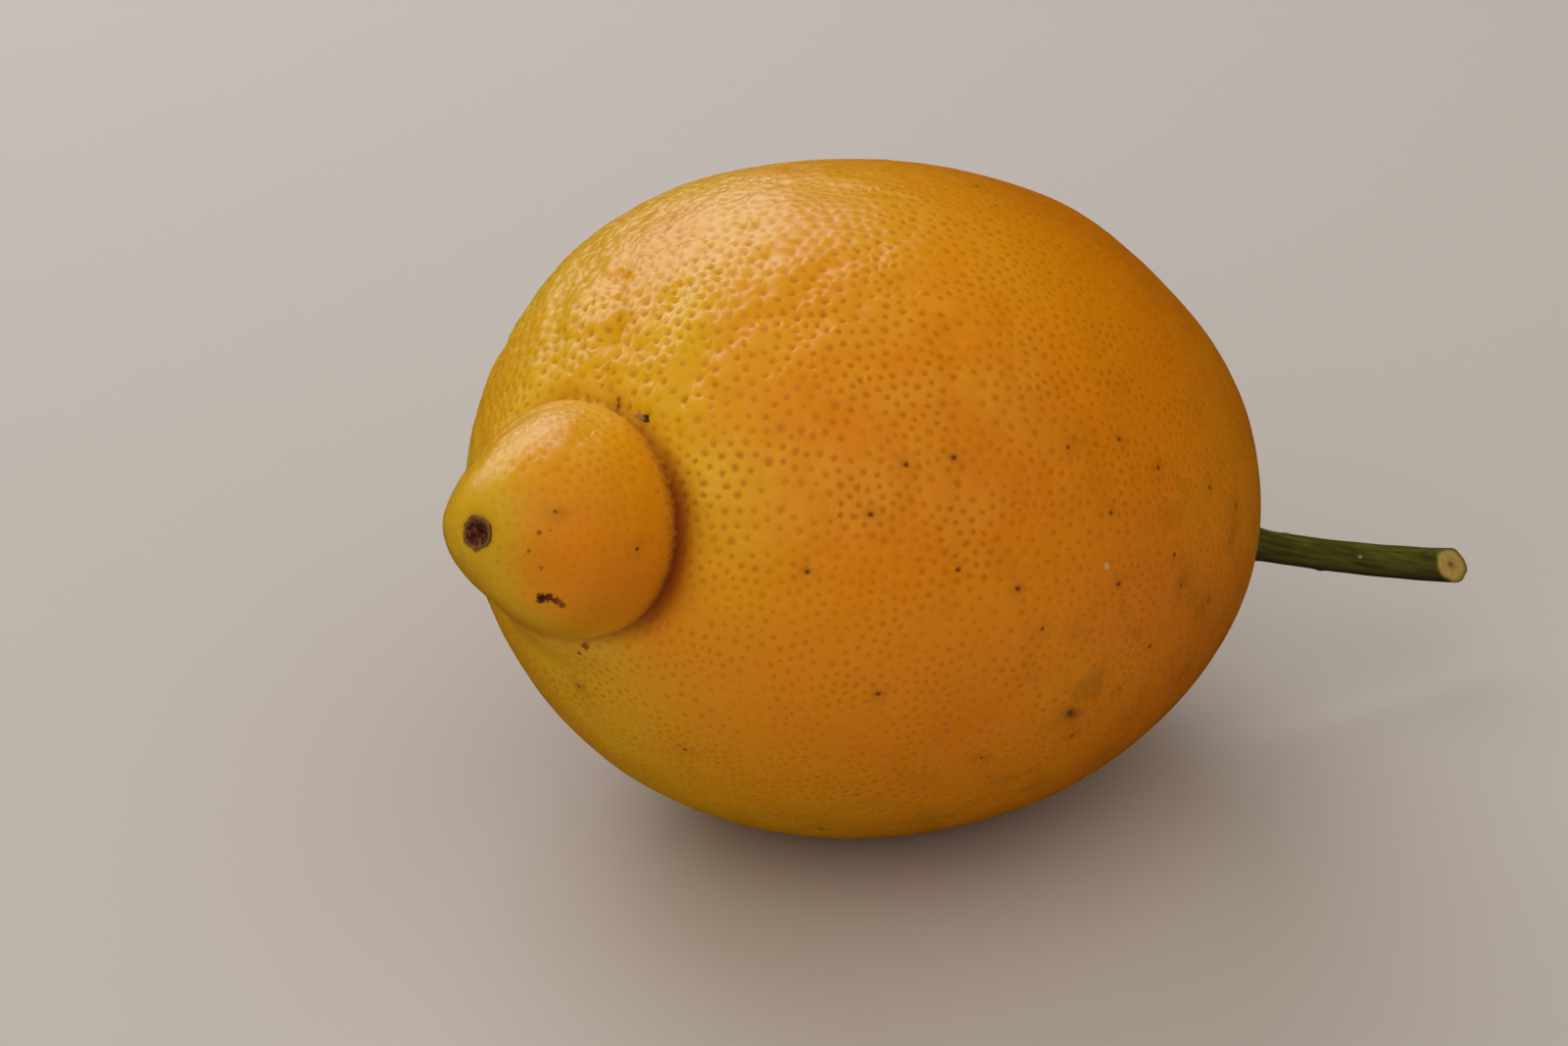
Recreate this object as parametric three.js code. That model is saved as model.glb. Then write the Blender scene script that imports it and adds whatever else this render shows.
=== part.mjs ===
// A lemon with a large knob-like nipple, its calyx button and a short piece of cut stem.
//
// Millimetres, +Z up. The fruit lies on its side, with the nipple towards -X and the stem
// towards +X. The origin is the middle of the small flat spot that the fruit rests on.
// Shapes are worked out in the body frame first: u along the body towards the stem end,
// v towards +Y, w up. The body is then tilted, stem end down, and set on its flat spot.

import * as THREE from "three";
import { mergeVertices } from "three/addons/utils/BufferGeometryUtils.js";

// Body: a slightly flattened ellipsoid, a little fuller towards the nipple and bowed upwards.
const BODY_HALF_LENGTH = 43.5;
const BODY_HALF_WIDTH = 36.9;
const BODY_HALF_DEPTH = 33.7;
const BODY_TAPER = 0.039;
const SHOULDER_LOSS = 0.017;
const BODY_BOW = 0.5;
const TILT = 14.1;
const FLAT_DEPTH = 0.85;

// Soft swellings and hollows: heading from the stem end towards +Y, rise above the body's
// middle plane, both in degrees, height in mm, and how tightly each one is gathered.
const SWELLINGS = [
  { heading: 118, rise: 34, height: 1.45, tightness: 14 },
  { heading: 12, rise: 61, height: 1.2, tightness: 30 },
  { heading: -22, rise: 35, height: 0.3, tightness: 20 },
  { heading: 144, rise: -37, height: -0.75, tightness: 20 },
  { heading: 131, rise: -73, height: 1.5, tightness: 7 },
];

// Nipple: a leaning dome set on the blossom end, with a folded crease round most of its foot.
const NIPPLE_SIDE = 5.8;
const NIPPLE_RISE = 2.7;
const NIPPLE_LEAN_SIDE = 1.5;
const NIPPLE_LEAN_RISE = -0.7;
const NIPPLE_HEIGHT = 13.2;
const NIPPLE_FOOT = 19.2;
const NIPPLE_OVERHANG = 0.8;
const DOME_FULLNESS_NEAR = 0.95;
const DOME_FULLNESS_FAR = 3.1;
const DOME_NEAR_SPREAD = 2.8;
const SMOOTH_FOOT = 1.45;
const CREASE_DEPTH = 1.1;
const CREASE_WIDTH = 0.13;
const CREASE_HEADING = 45;
const CREASE_FULL_SPAN = 75;
const CREASE_END_SPAN = 150;

// Stem end: where the calyx sits on the body, and the sizes of calyx and stem.
const STEM_HEADING = -15;
const STEM_RISE = -5.5;
const CALYX_RADIUS = 4.1;
const CALYX_NOTCH = 0.22;
const CALYX_LOBES = 5;
const CALYX_THICKNESS = 1.3;
const STEM_RADIUS = 1.7;
const STEM_FLARE = 0.85;
const STEM_FLARE_LENGTH = 2.6;
const STEM_END_GAIN = 0.2;
const STEM_LENGTH = 28;
const STEM_UPTURN = 2.15;
const CUT_SLOPE = 1.85;
const CUT_HEADING = 150;
const GAP = 0.3;

// Mesh density: rings run from the tip of the nipple to the far end of the body.
const AROUND = 72;
const NIPPLE_RINGS = 11;
const BODY_RINGS = 35;
const NIPPLE_SPAN = 30;

const RIND_MATERIAL = new THREE.MeshStandardMaterial({
  color: 0xe39a12,
  roughness: 0.42,
  metalness: 0,
});
const CALYX_MATERIAL = new THREE.MeshStandardMaterial({
  color: 0x5f6a2a,
  roughness: 0.65,
  metalness: 0,
});
const STEM_MATERIAL = new THREE.MeshStandardMaterial({
  color: 0x6d7030,
  roughness: 0.55,
  metalness: 0,
});

const radians = THREE.MathUtils.degToRad;
const smoothstep = THREE.MathUtils.smoothstep;

// Unit direction in the body frame from its heading and rise in degrees.
function direction(heading, rise) {
  const h = radians(heading);
  const r = radians(rise);
  return new THREE.Vector3(Math.cos(r) * Math.cos(h), Math.cos(r) * Math.sin(h), Math.sin(r));
}

// Outward normal of the plain ellipsoid in direction q.
function bodyNormal(q) {
  return new THREE.Vector3(
    q.x / BODY_HALF_LENGTH,
    q.y / BODY_HALF_WIDTH,
    q.z / BODY_HALF_DEPTH,
  ).normalize();
}

// Point of the body, without the nipple, in direction q.
function bodyPoint(q) {
  const lateral = 1 - BODY_TAPER * q.x - SHOULDER_LOSS * 4 * q.x * q.x * (1 - q.x * q.x);
  const point = new THREE.Vector3(
    BODY_HALF_LENGTH * q.x,
    BODY_HALF_WIDTH * q.y * lateral,
    BODY_HALF_DEPTH * q.z * lateral - BODY_BOW * q.x * q.x,
  );
  const swell = SWELLINGS.reduce((sum, s) => {
    const closeness = q.dot(direction(s.heading, s.rise)) - 1;
    return sum + s.height * Math.exp(s.tightness * closeness);
  }, 0);
  return point.addScaledVector(bodyNormal(q), swell);
}

// Axes at the nipple: outwards through its foot, sideways towards -Y, and upwards.
const nippleOut = direction(180 + NIPPLE_SIDE, NIPPLE_RISE);
const nippleSide = new THREE.Vector3(0, 0, 1).cross(nippleOut).normalize();
const nippleUp = nippleOut.clone().cross(nippleSide);
const nippleLean = direction(
  180 + NIPPLE_SIDE + NIPPLE_LEAN_SIDE,
  NIPPLE_RISE + NIPPLE_LEAN_RISE,
);

// How much of the folded crease there is at angle around the foot: 1 full, 0 merged smoothly.
function creaseShare(around) {
  const turn = Math.abs(THREE.MathUtils.euclideanModulo(around - CREASE_HEADING + 180, 360) - 180);
  return 1 - smoothstep(turn, CREASE_FULL_SPAN, CREASE_END_SPAN);
}

// Point of the fruit at polar angle span from the nipple's tip and angle around it, degrees.
function fruitPoint(span, around) {
  const share = span / NIPPLE_SPAN;
  const onNipple = Math.min(share, 1);
  const quarter = (onNipple * Math.PI) / 2;
  const beyond = ((span - NIPPLE_SPAN) * (180 - NIPPLE_FOOT)) / (180 - NIPPLE_SPAN);
  const bodySpan = share < 1 ? NIPPLE_FOOT * Math.sin(quarter) : NIPPLE_FOOT + beyond;
  const footShare = bodySpan / NIPPLE_FOOT;

  const sideways = nippleSide
    .clone()
    .multiplyScalar(Math.cos(radians(around)))
    .addScaledVector(nippleUp, Math.sin(radians(around)));
  const q = nippleOut
    .clone()
    .multiplyScalar(Math.cos(radians(bodySpan)))
    .addScaledVector(sideways, Math.sin(radians(bodySpan)));

  const crease = creaseShare(around);
  const farness = Math.pow((1 - Math.cos(radians(around))) / 2, DOME_NEAR_SPREAD);
  const fullness = THREE.MathUtils.lerp(DOME_FULLNESS_NEAR, DOME_FULLNESS_FAR, farness);
  const dome = Math.pow(Math.max(Math.cos(quarter), 0), fullness);
  const slope = (1 + Math.cos(Math.PI * Math.min(footShare / SMOOTH_FOOT, 1))) / 2;
  const rise = NIPPLE_HEIGHT * THREE.MathUtils.lerp(slope, dome, crease);
  const bulge = NIPPLE_OVERHANG * crease * Math.sin(Math.PI * onNipple * onNipple);
  const fold = CREASE_DEPTH * crease * Math.exp(-Math.pow((footShare - 1) / CREASE_WIDTH, 2));

  return bodyPoint(q)
    .addScaledVector(nippleLean, rise)
    .addScaledVector(sideways, bulge)
    .addScaledVector(bodyNormal(q), -fold);
}

// Turn from the body frame to the resting attitude: the stem end goes down.
const resting = new THREE.Matrix4().makeRotationY(radians(TILT));

// A sphere whose rings and segments are moved onto the fruit, still centred on the body.
function fruitShell() {
  const rings = NIPPLE_RINGS + BODY_RINGS;
  const sphere = new THREE.SphereGeometry(1, AROUND, rings);
  sphere.deleteAttribute("normal");
  sphere.deleteAttribute("uv");
  const shell = mergeVertices(sphere, 1e-5);
  const place = shell.getAttribute("position");
  for (let i = 0; i < place.count; i += 1) {
    const v = new THREE.Vector3().fromBufferAttribute(place, i);
    const ring = (Math.acos(THREE.MathUtils.clamp(v.y, -1, 1)) / Math.PI) * rings;
    const around = THREE.MathUtils.radToDeg(Math.atan2(v.x, v.z));
    const onBody = Math.max(ring - NIPPLE_RINGS, 0) / BODY_RINGS;
    const onNipple = Math.min(ring / NIPPLE_RINGS, 1);
    const span = NIPPLE_SPAN * onNipple + (180 - NIPPLE_SPAN) * onBody;
    const p = fruitPoint(span, around).applyMatrix4(resting);
    place.setXYZ(i, p.x, p.y, p.z);
  }
  return shell;
}

// Where the resting spot's middle is, seen from the body's centre: the middle of the
// vertices that FLAT_DEPTH presses flat.
function restingSpot(shell) {
  const place = shell.getAttribute("position");
  shell.computeBoundingBox();
  const floor = shell.boundingBox.min.z + FLAT_DEPTH;
  const pressed = new THREE.Box3();
  for (let i = 0; i < place.count; i += 1) {
    const v = new THREE.Vector3().fromBufferAttribute(place, i);
    if (v.z <= floor) pressed.expandByPoint(v);
  }
  return pressed.getCenter(new THREE.Vector3()).setZ(floor);
}

const shell = fruitShell();
const spot = restingSpot(shell);

function makeFruit() {
  const geometry = shell.clone();
  const place = geometry.getAttribute("position");
  for (let i = 0; i < place.count; i += 1) {
    const z = Math.max(place.getZ(i) - spot.z, 0);
    place.setXYZ(i, place.getX(i) - spot.x, place.getY(i) - spot.y, z);
  }
  const mesh = new THREE.Mesh(geometry, RIND_MATERIAL);
  mesh.name = "fruit";
  return mesh;
}

// A frame that stands on the stem end: its +Z out of the fruit, its +X level and its +Y
// upwards, with its origin on the fruit's surface.
function makeStemSeat() {
  const q = direction(STEM_HEADING, STEM_RISE);
  const out = bodyNormal(q).transformDirection(resting);
  const level = new THREE.Vector3(0, 0, 1).cross(out).normalize();
  const upwards = out.clone().cross(level);
  const seat = new THREE.Group();
  seat.position.copy(bodyPoint(q).applyMatrix4(resting).sub(spot));
  seat.quaternion.setFromRotationMatrix(new THREE.Matrix4().makeBasis(level, upwards, out));
  return seat;
}

// The calyx: a low five-lobed button, domed slightly towards the stem.
function makeCalyx() {
  const steps = CALYX_LOBES * 8;
  const outline = new THREE.Shape();
  for (let i = 0; i < steps; i += 1) {
    const turn = (i / steps) * 2 * Math.PI;
    const reach = CALYX_RADIUS * (1 - CALYX_NOTCH * (0.5 - 0.5 * Math.cos(CALYX_LOBES * turn)));
    const x = reach * Math.cos(turn);
    const y = reach * Math.sin(turn);
    if (i === 0) outline.moveTo(x, y);
    else outline.lineTo(x, y);
  }
  const bevel = 0.35;
  const geometry = new THREE.ExtrudeGeometry(outline, {
    depth: CALYX_THICKNESS - 2 * bevel,
    bevelThickness: bevel,
    bevelSize: bevel,
    bevelOffset: -bevel,
    bevelSegments: 2,
    curveSegments: 1,
  });
  const mesh = new THREE.Mesh(geometry, CALYX_MATERIAL);
  mesh.name = "calyx";
  mesh.position.z = GAP + bevel;
  return mesh;
}

// The stem: a tapered rod, flared at the calyx, turning up a little, cut slantwise at its end.
function makeStem() {
  const rod = new THREE.CylinderGeometry(1, 1, 1, 16, 14);
  rod.deleteAttribute("normal");
  rod.deleteAttribute("uv");
  const geometry = mergeVertices(rod, 1e-5);
  geometry.rotateX(Math.PI / 2);
  const place = geometry.getAttribute("position");
  const cut = radians(CUT_HEADING);
  for (let i = 0; i < place.count; i += 1) {
    const along = place.getZ(i) + 0.5;
    const flare = STEM_FLARE * Math.exp(-Math.pow((along * STEM_LENGTH) / STEM_FLARE_LENGTH, 2));
    const radius = STEM_RADIUS + flare + STEM_END_GAIN * along;
    const x = place.getX(i) * radius;
    const y = place.getY(i) * radius;
    const slant = CUT_SLOPE * (x * Math.cos(cut) + y * Math.sin(cut)) * Math.pow(along, 6);
    const upturn = STEM_UPTURN * along * along;
    place.setXYZ(i, x, y + upturn, along * STEM_LENGTH - slant);
  }
  const mesh = new THREE.Mesh(geometry, STEM_MATERIAL);
  mesh.name = "stem";
  mesh.position.z = GAP + CALYX_THICKNESS + GAP;
  return mesh;
}

const lemon = new THREE.Group();
const seat = makeStemSeat();
seat.add(makeCalyx(), makeStem());
lemon.add(makeFruit(), seat);

export default lemon;
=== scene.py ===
# A whole lemon with a large knob-like nipple, its calyx and a short piece of cut stem,
# lying on its side on a plain pale floor.

from math import cos, pi, radians, sin

import bpy
import numpy as np
from mathutils import Matrix, Vector, geometry, kdtree, noise


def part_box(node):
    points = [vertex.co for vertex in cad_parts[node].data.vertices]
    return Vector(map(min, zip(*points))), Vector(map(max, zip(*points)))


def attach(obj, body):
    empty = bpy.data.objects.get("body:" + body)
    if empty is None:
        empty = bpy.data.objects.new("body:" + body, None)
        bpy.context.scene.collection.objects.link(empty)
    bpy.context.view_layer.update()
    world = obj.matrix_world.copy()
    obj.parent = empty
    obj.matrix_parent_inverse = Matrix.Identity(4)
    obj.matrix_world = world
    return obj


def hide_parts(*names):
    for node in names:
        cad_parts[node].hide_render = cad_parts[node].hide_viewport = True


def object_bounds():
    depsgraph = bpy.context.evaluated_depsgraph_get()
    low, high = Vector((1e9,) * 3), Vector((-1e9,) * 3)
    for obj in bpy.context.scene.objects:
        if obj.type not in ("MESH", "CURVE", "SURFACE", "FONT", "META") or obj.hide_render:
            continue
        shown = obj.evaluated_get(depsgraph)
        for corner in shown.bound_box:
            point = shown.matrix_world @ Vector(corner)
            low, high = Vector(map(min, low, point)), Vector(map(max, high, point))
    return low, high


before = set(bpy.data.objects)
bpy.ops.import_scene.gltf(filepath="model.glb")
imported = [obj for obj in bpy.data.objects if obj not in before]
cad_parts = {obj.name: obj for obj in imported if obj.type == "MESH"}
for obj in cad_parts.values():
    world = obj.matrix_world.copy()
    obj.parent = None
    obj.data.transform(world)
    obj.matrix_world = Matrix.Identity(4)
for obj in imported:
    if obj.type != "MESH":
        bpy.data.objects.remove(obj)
cad_low, cad_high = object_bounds()

# ---------------------------------------------------------------------------------------
# Fruit: rind, pith and flesh grown as one body. The rind is set with thousands of oil
# glands, each a small pit over a sac of oil. The nipple leans out of the blossom end and
# has folded over its own foot, so a deep crease runs round most of it.
# ---------------------------------------------------------------------------------------
MM = 0.001

# Lengths are in mm and angles in degrees.
BODY = np.array([43.5, 36.9, 33.7])
BODY_TAPER = 0.039
SHOULDER_LOSS = 0.017
BODY_BOW = 0.5
TILT = 14.1
# Heading from the stem end, rise above the middle, height and tightness of each swelling.
SWELLINGS = [
    (118, 34, 1.45, 14),
    (12, 61, 1.2, 30),
    (-22, 35, 0.3, 20),
    (144, -37, -0.75, 20),
    (131, -73, 1.5, 7),
]
NIPPLE_SIDE = 5.8
NIPPLE_RISE = 2.7
NIPPLE_LEAN_SIDE = 1.5
NIPPLE_LEAN_RISE = -0.7
NIPPLE_HEIGHT = 13.2
NIPPLE_FOOT = 19.2
NIPPLE_SPAN = 30.0
NIPPLE_OVERHANG = 0.8
DOME_FULLNESS = (0.95, 3.1)
DOME_NEAR_SPREAD = 2.8
SMOOTH_FOOT = 1.45
CREASE_DEPTH = 1.1
CREASE_WIDTH = 0.13
CREASE_HEADING = 45
CREASE_TURNS = (75, 150)
SHOULDER_HEADING = 95
SHOULDER_TURNS = (45, 125)
SHOULDER_STARTS = (27, 33)
SHOULDER_ENDS = (46, 108)
STEM_HEADING = -15
STEM_RISE = -5.5


def direction(heading, rise):
    h, r = radians(heading), radians(rise)
    return np.array([cos(r) * cos(h), cos(r) * sin(h), sin(r)])


def unit(v):
    return v / np.linalg.norm(v, axis=-1, keepdims=True)


def smooth(x, low, high):
    """0 below low, 1 above high and an S-shaped step between them."""
    t = np.clip((x - low) / (high - low), 0, 1)
    return t * t * (3 - 2 * t)


nipple_out = direction(180 + NIPPLE_SIDE, NIPPLE_RISE)
nipple_side = unit(np.cross([0, 0, 1], nipple_out))
nipple_up = np.cross(nipple_out, nipple_side)
nipple_lean = direction(
    180 + NIPPLE_SIDE + NIPPLE_LEAN_SIDE, NIPPLE_RISE + NIPPLE_LEAN_RISE
)
resting = np.array(Matrix.Rotation(radians(TILT), 3, "Y"))


def body_normal(q):
    return unit(q / BODY)


def body_point(q):
    """Where the body's skin lies, before it is tilted, for points q of a unit ball."""
    along = q[..., 0]
    lateral = 1 - BODY_TAPER * along - SHOULDER_LOSS * 4 * along**2 * (1 - along**2)
    point = q * BODY
    point[..., 1] *= lateral
    point[..., 2] = point[..., 2] * lateral - BODY_BOW * along**2
    swell = sum(
        height * np.exp(tightness * (q @ direction(heading, rise) - 1))
        for heading, rise, height, tightness in SWELLINGS
    )
    return point + swell[..., None] * body_normal(q)


def spans_of(way):
    """Angle from the nipple's tip and angle around it, in degrees, of unit vectors."""
    span = np.degrees(np.arccos(np.clip(way[..., 2], -1, 1)))
    around = np.degrees(np.arctan2(way[..., 1], way[..., 0]))
    return span, around


def way_to(span, around):
    """The unit vectors that have these two angles."""
    s, a = np.radians(span), np.radians(around)
    return np.stack([np.sin(s) * np.cos(a), np.sin(s) * np.sin(a), np.cos(s)], axis=-1)


def turn_from(around, heading):
    """How far round the nipple an angle is from a heading, in degrees."""
    return np.abs((around - heading + 180) % 360 - 180)


def crease_share(around):
    """1 where the nipple's foot is folded under, 0 where it runs smoothly into the body."""
    return 1 - smooth(turn_from(around, CREASE_HEADING), *CREASE_TURNS)


def shoulder_share(way):
    """1 on the pebbly upper shoulder beside the nipple, where glands are large and sparse."""
    span, around = spans_of(way)
    upper = 1 - smooth(turn_from(around, SHOULDER_HEADING), *SHOULDER_TURNS)
    return smooth(span, *SHOULDER_STARTS) * (1 - smooth(span, *SHOULDER_ENDS)) * upper


def skin(way):
    """Points of the smooth fruit, centred on the body, in mm."""
    span, around = spans_of(way)
    on_nipple = np.minimum(span / NIPPLE_SPAN, 1)
    quarter = on_nipple * pi / 2
    beyond = (span - NIPPLE_SPAN) * (180 - NIPPLE_FOOT) / (180 - NIPPLE_SPAN)
    body_span = np.where(
        span < NIPPLE_SPAN, NIPPLE_FOOT * np.sin(quarter), NIPPLE_FOOT + beyond
    )
    foot_share = body_span / NIPPLE_FOOT
    turn = np.radians(around)[..., None]
    sideways = nipple_side * np.cos(turn) + nipple_up * np.sin(turn)
    tip = np.radians(body_span)[..., None]
    q = nipple_out * np.cos(tip) + sideways * np.sin(tip)

    crease = crease_share(around)
    farness = ((1 - np.cos(np.radians(around))) / 2) ** DOME_NEAR_SPREAD
    fullness = DOME_FULLNESS[0] + farness * (DOME_FULLNESS[1] - DOME_FULLNESS[0])
    dome = np.maximum(np.cos(quarter), 0) ** fullness
    slope = (1 + np.cos(pi * np.minimum(foot_share / SMOOTH_FOOT, 1))) / 2
    rise = NIPPLE_HEIGHT * (slope + (dome - slope) * crease)
    bulge = NIPPLE_OVERHANG * crease * np.sin(pi * on_nipple**2)
    fold = CREASE_DEPTH * crease * np.exp(-(((foot_share - 1) / CREASE_WIDTH) ** 2))
    point = body_point(q) + nipple_lean * rise[..., None]
    point += sideways * bulge[..., None] - body_normal(q) * fold[..., None]
    return point @ resting.T


def tangents(way):
    """Two unit vectors square to each way, its point and the skin's slopes along them."""
    off_axis = np.where(np.abs(way[:, 2:]) < 0.9, [[0.0, 0.0, 1.0]], [[1.0, 0.0, 0.0]])
    first = unit(np.cross(off_axis, way))
    second = np.cross(way, first)
    step = 1e-3
    here = skin(way)
    slopes = [(skin(unit(way + step * t)) - here) / step for t in (first, second)]
    return first, second, here, slopes


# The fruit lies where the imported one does: level with its sides and its top.
fruit_low, fruit_high = (np.array(corner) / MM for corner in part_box("fruit"))
grid = way_to(*np.meshgrid(np.linspace(0, 180, 361), np.arange(0, 360, 1.0)))
smooth_low = skin(grid).min(axis=(0, 1))
smooth_high = skin(grid).max(axis=(0, 1))
centre = (fruit_low + fruit_high - smooth_low - smooth_high) / 2
centre[2] = fruit_high[2] - smooth_high[2]

# Oil glands: spread over the skin at random, then pushed apart until they sit evenly.
# They sit closer together on the underside and wider apart on the shoulder.
GLANDS = 13600
TRIES_PER_GLAND = 8
GLAND_PITCH = 1.27
GLAND_ROOM = 1.15
NEIGHBOURS = 7
SPREADING_ROUNDS = 5
PUSH_SHARE = 0.24
LEAST_GAP = 0.05
UNDERSIDE = (-10, 30)
MORE_BELOW = 0.3
CLOSER_BELOW = 0.06
FEWER_ON_SHOULDER = 0.32
WIDER_ON_SHOULDER = 0.16
chance = np.random.default_rng(7)


def spread_glands():
    tries = unit(chance.normal(size=(GLANDS * TRIES_PER_GLAND, 3)))
    _, _, _, (a, b) = tangents(tries)
    stretch = np.linalg.norm(np.cross(a, b), axis=1)
    below = smooth(-skin(tries)[:, 2], *UNDERSIDE)
    fewer = 1 - FEWER_ON_SHOULDER * shoulder_share(tries)
    wanted = stretch * (1 + MORE_BELOW * below) * fewer
    keep = chance.choice(len(tries), GLANDS, replace=False, p=wanted / wanted.sum())
    ways = tries[keep]
    for _ in range(SPREADING_ROUNDS):
        first, second, here, (a, b) = tangents(ways)
        tree = kdtree.KDTree(GLANDS)
        for i, p in enumerate(here.tolist()):
            tree.insert(p, i)
        tree.balance()
        near = np.array([[n[1] for n in tree.find_n(p, NEIGHBOURS)] for p in here.tolist()])
        apart = here[:, None] - here[near]
        far = np.linalg.norm(apart, axis=2, keepdims=True)
        room = GLAND_PITCH * GLAND_ROOM * (1 - CLOSER_BELOW * smooth(-here[:, 2], *UNDERSIDE))
        room = room * (1 + WIDER_ON_SHOULDER * shoulder_share(ways))
        push = np.maximum(room[:, None, None] - far, 0) / np.maximum(far, LEAST_GAP)
        push = (apart * push).sum(axis=1) * PUSH_SHARE
        # The push, measured along the skin, is turned into a step of the way.
        aa, ab, bb = (a * a).sum(1), (a * b).sum(1), (b * b).sum(1)
        pa, pb = (a * push).sum(1), (b * push).sum(1)
        share = aa * bb - ab * ab
        along_first = (pa * bb - pb * ab) / share
        along_second = (pb * aa - pa * ab) / share
        ways = unit(ways + first * along_first[:, None] + second * along_second[:, None])
    return ways


def flat_map(ways):
    """The glands laid out flat, nipple in the middle, with local shapes kept."""
    span_step, turn_step = 0.5, 5.0
    spans = np.arange(span_step, 180, span_step)
    ring = skin(way_to(*np.meshgrid(spans, np.arange(0, 360, turn_step), indexing="ij")))
    down = np.gradient(ring, np.radians(span_step), axis=0)
    across = np.gradient(ring, np.radians(turn_step), axis=1)
    down, across = (np.linalg.norm(pace, axis=2).mean(axis=1) for pace in (down, across))
    growth = down / across - 1 / np.sin(np.radians(spans))
    growth = np.cumsum(growth) * np.radians(span_step)
    span, around = spans_of(ways)
    radius = np.tan(np.radians(span) / 2) * np.exp(np.interp(span, spans, growth))
    turn = np.radians(around)
    return np.stack([radius * np.cos(turn), radius * np.sin(turn)], axis=1)


def join_glands(ways):
    """Triangles between neighbouring glands. The last one, at the far pole, closes them."""
    flat = flat_map(ways[:-1])
    found = geometry.delaunay_2d_cdt([Vector(p) for p in flat.tolist()], [], [], 0, 0.0)
    source = [origin[0] for origin in found[3]]
    cells = np.array([[source[i] for i in face] for face in found[2]])
    pairs = np.concatenate([cells[:, [0, 1]], cells[:, [1, 2]], cells[:, [2, 0]]])
    met = set(map(tuple, pairs.tolist()))
    rim = [(b, a, len(ways) - 1) for a, b in met if (b, a) not in met]
    return np.concatenate([cells, np.array(sorted(rim))])


glands = np.concatenate([spread_glands(), [[0.0, 0.0, -1.0]]])
cells = join_glands(glands)

# Each pit is a gland's middle with a ring of points round it, one towards each neighbour.
PIT_RADIUS = 0.50
PIT_REACH = 0.42
GLAND_SIZES = (0.75, 1.2)
LARGER_ON_SHOULDER = 0.2

edges = np.concatenate([cells[:, [0, 1]], cells[:, [1, 2]], cells[:, [2, 0]]])
edges = np.unique(np.sort(edges, axis=1), axis=0)
gland_points = skin(glands)
gland_size = chance.uniform(*GLAND_SIZES, len(glands))
gland_size = gland_size * (1 + LARGER_ON_SHOULDER * shoulder_share(glands))
ends = np.concatenate([edges, edges[:, ::-1]])
distance = np.linalg.norm(gland_points[ends[:, 0]] - gland_points[ends[:, 1]], axis=1)
reach = np.minimum(PIT_RADIUS * gland_size[ends[:, 0]] / distance, PIT_REACH)[:, None]
ring_ways = unit(glands[ends[:, 0]] * (1 - reach) + glands[ends[:, 1]] * reach)
ways = np.concatenate([glands, ring_ways])
middle = np.concatenate([np.ones(len(glands)), np.zeros(len(ring_ways))])
owner = np.concatenate([np.arange(len(glands)), ends[:, 0]])

ring_index = {(a, b): len(glands) + i for i, (a, b) in enumerate(ends.tolist())}
faces = []
for a, b, c in cells.tolist():
    ab, ba = ring_index[a, b], ring_index[b, a]
    bc, cb = ring_index[b, c], ring_index[c, b]
    ca, ac = ring_index[c, a], ring_index[a, c]
    faces += [(a, ab, ac), (b, bc, ba), (c, ca, cb)]
    faces += [(ab, ba, bc), (bc, cb, ca), (ca, ac, ab), (ab, bc, ca)]

# Relief, in mm, inwards from the smooth skin. Places are given by their angle from the
# nipple's tip and round it. The folded crease itself is smooth.
KNOB_EDGE = (24, 31)
KNOB_TOP_TURNS = (30, 110)
KNOB_TIP = (4, 12)
KNOB_TOP_PEBBLES = 0.5
CALM_WIDTH = 2.6
PIT_DEPTH = 0.09
PEBBLY_DEPTH = 0.31
SMOOTHER_KNOB = 0.75
PIT_RIM_SHARE = 0.22
# Wavelength, height, what pebbly skin adds to the height, and seed of each swell.
LUMPS = [
    (17, 0.28, 0.00, 1),
    (5.1, 0.05, 0.08, 2),
    (2.3, 0.03, 0.14, 3),
]
DENT_DEPTH = 0.26
DENT_WAVELENGTH = 3.6
# Depth, width and the places that each furrow runs through.
FURROWS = [
    (1.00, 1.2, [(31, 100), (36, 105), (41, 107)]),
    (0.30, 1.4, [(41, 107), (50, 113)]),
    (0.50, 1.1, [(37, 66), (41, 72), (46, 78)]),
    (0.35, 1.2, [(36, 84), (42, 90), (48, 94)]),
    (0.30, 1.9, [(34, 128), (44, 132), (58, 131)]),
    (0.25, 1.5, [(50, 62), (58, 72), (66, 76)]),
    (0.22, 1.5, [(15, 52), (21, 70), (26, 84)]),
    (0.30, 1.5, [(9, 140), (16, 120), (24, 108)]),
]
FURROW_STEPS = 40
SCAR = (3.2, 14)
SCAR_HOLE_DEPTH = 1.3
SCAR_HOLE_SIZE = 1.3
SCAR_SWELL = 0.3
SCAR_SWELL_SIZE = 3.0

_, _, smooth_place, (slope_a, slope_b) = tangents(ways)
outward = unit(np.cross(slope_a, slope_b))
span, around = spans_of(ways)


def skin_at(at_span, at_around):
    """The point of the smooth skin at a place, given by its two angles."""
    return skin(way_to(np.array([at_span]), np.array([at_around])))[0]


def near_place(at_span, at_around, size):
    """1 at a place on the skin, falling to 0 over size mm."""
    off = np.linalg.norm(smooth_place - skin_at(at_span, at_around), axis=1)
    return np.exp(-((off / size) ** 2))


def noise_at(points, wavelength, seed):
    """Smooth random swells, from -1 to 1, of a wavelength in mm. Each seed has its own."""
    shift = Vector((seed * 17.3, seed * 9.1, seed * 5.7))
    return np.array([noise.noise(Vector(p) + shift) for p in (points / wavelength).tolist()])


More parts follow.
